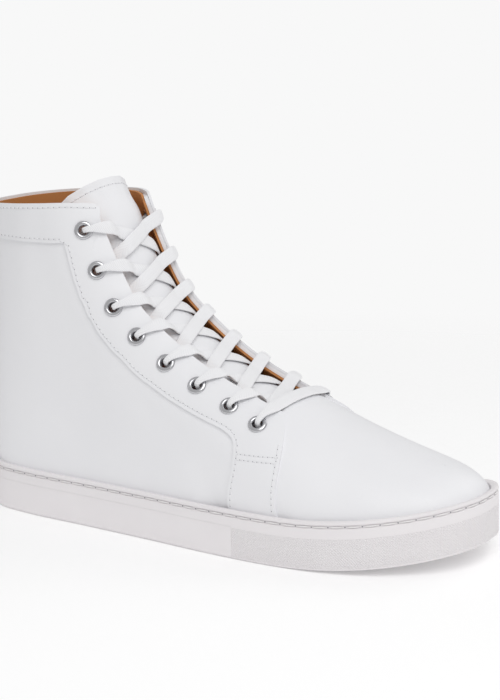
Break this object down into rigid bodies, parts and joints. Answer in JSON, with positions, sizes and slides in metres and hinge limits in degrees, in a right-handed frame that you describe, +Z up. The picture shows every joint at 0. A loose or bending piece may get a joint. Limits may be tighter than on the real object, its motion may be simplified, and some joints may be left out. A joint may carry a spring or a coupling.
{
  "type": "lace-up high-top sneaker",
  "caption": "Right-foot lace-up high-top sneaker with a cupsole, smooth leather upper, leather lining, padded collar, separate tongue, metal eyelets and one flat lace.",
  "frame": {"origin": "on the ground plane, under the middle of the sole's bounding box", "axes": "+X towards the toe, +Y towards the inner (medial) side, +Z up"},
  "size_m": [0.2978, 0.1034, 0.179],
  "materials": {
    "sole_rubber": "matt moulded rubber, smooth band and fine diamond texture",
    "sewing_thread": "twisted polyester thread",
    "foam": "closed foam",
    "insole_board": "pressed fibre board",
    "footbed_cover": "thin tan leather",
    "stiffener": "stiffened non-woven sheet",
    "upper_leather": "smooth full-grain, semi-matt",
    "lining_leather": "unglazed tan lining leather",
    "eyelet_metal": "bright nickel plate",
    "lace_cotton": "flat woven cotton",
    "tip_plastic": "clear-white tip"
  },
  "bodies": {
    "shoe": {"outsole": "sole_rubber", "sidewall_stitching": "sewing_thread", "midsole_filler": "foam", "collar_foam": "foam", "insole_board": "insole_board", "footbed": "footbed_cover", "heel_counter": "stiffener", "toe_puff": "stiffener", "eyestay_backing_lateral": "stiffener", "eyestay_backing_medial": "stiffener", "vamp": "upper_leather", "heel_backstay": "upper_leather", "quarter_lateral": "upper_leather", "quarter_medial": "upper_leather", "facing_lateral": "upper_leather", "facing_medial": "upper_leather", "vamp_lining": "lining_leather", "quarter_lining_lateral": "lining_leather", "quarter_lining_medial": "lining_leather", "eyelet_lateral_1": "eyelet_metal", "eyelet_lateral_2": "eyelet_metal", "eyelet_lateral_3": "eyelet_metal", "eyelet_lateral_4": "eyelet_metal", "eyelet_lateral_5": "eyelet_metal", "eyelet_lateral_6": "eyelet_metal", "eyelet_lateral_7": "eyelet_metal", "eyelet_lateral_8": "eyelet_metal", "eyelet_medial_1": "eyelet_metal", "eyelet_medial_2": "eyelet_metal", "eyelet_medial_3": "eyelet_metal", "eyelet_medial_4": "eyelet_metal", "eyelet_medial_5": "eyelet_metal", "eyelet_medial_6": "eyelet_metal", "eyelet_medial_7": "eyelet_metal", "eyelet_medial_8": "eyelet_metal", "lace": "lace_cotton", "aglet_lateral": "tip_plastic", "aglet_medial": "tip_plastic"},
    "tongue_flap": {"tongue": "upper_leather", "tongue_foam": "foam", "tongue_lining": "lining_leather"}
  },
  "joints": [
    {"name": "tongue_pivot", "type": "hinge", "parent": "shoe", "child": "tongue_flap", "pos_m": [0.067, 0, 0.052], "axis": [0, 1, 0], "range_deg": [-8, 0], "deforming": ["lace"]}
  ]
}
